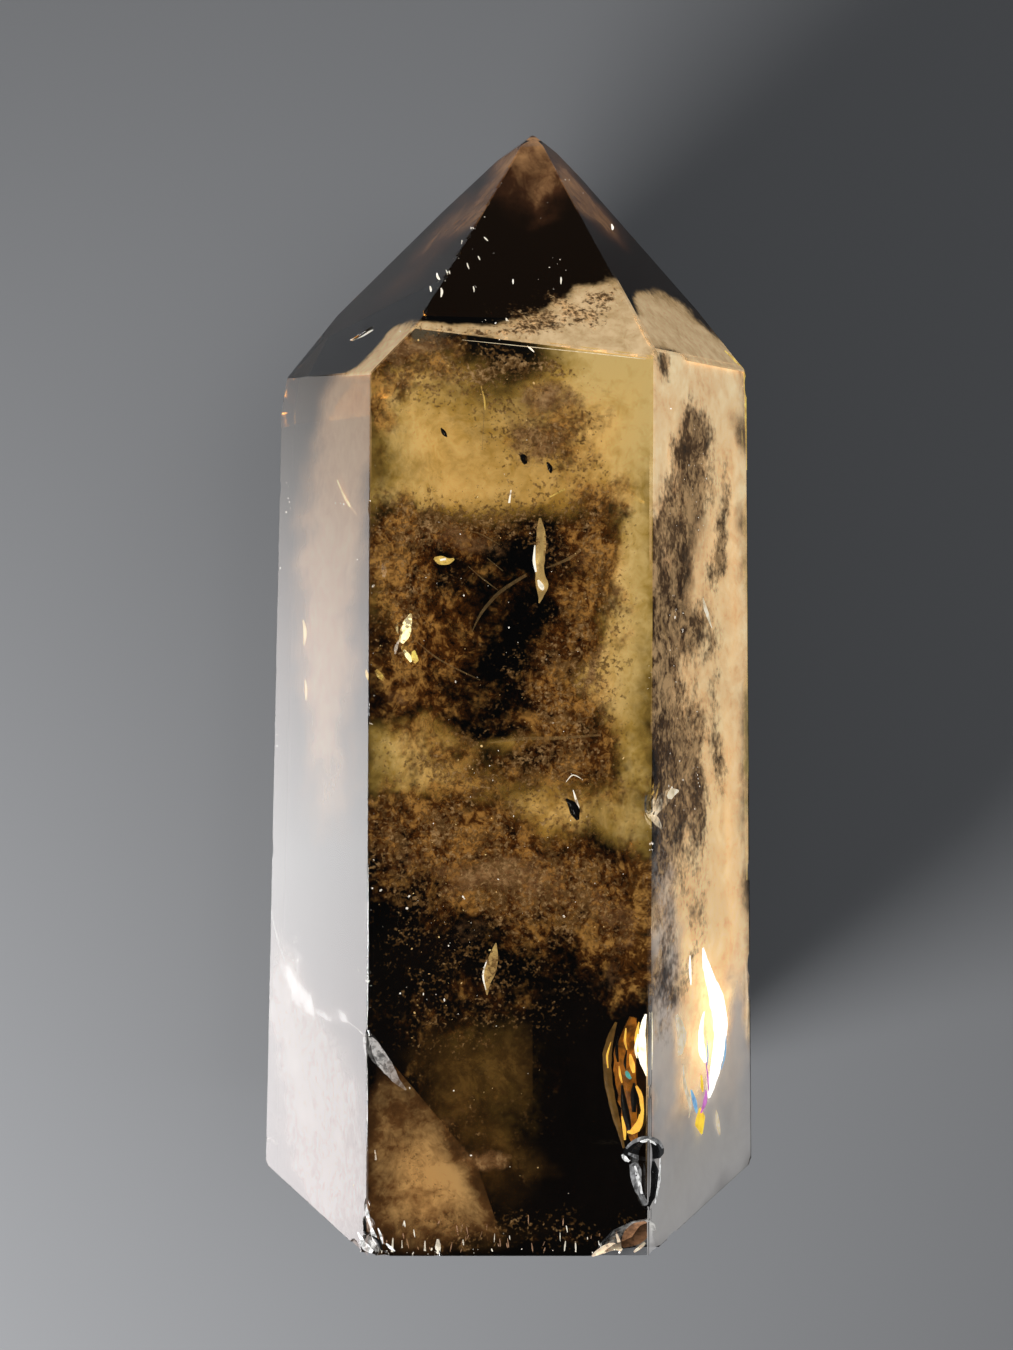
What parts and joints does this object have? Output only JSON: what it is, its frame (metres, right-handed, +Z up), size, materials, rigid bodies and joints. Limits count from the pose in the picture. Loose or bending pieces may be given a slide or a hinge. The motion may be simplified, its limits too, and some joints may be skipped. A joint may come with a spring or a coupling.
{
  "type": "smoky quartz point",
  "caption": "Polished six-sided smoky quartz point with a cut flat base and a faceted tip, lying on one long face.",
  "frame": {"origin": "bottom centre of the bounding box, on the surface that the crystal lies on", "axes": "+Y along the crystal from the cut base to the tip, +Z up out of the long face it shows, +X to its right"},
  "size_m": [0.033, 0.0694, 0.0286],
  "materials": {
    "smoky_quartz": "polished clear crystal, smoky golden brown, with cloudy veils and fractures inside"
  },
  "bodies": {
    "root": {"smoky_quartz": "smoky_quartz"}
  },
  "joints": []
}
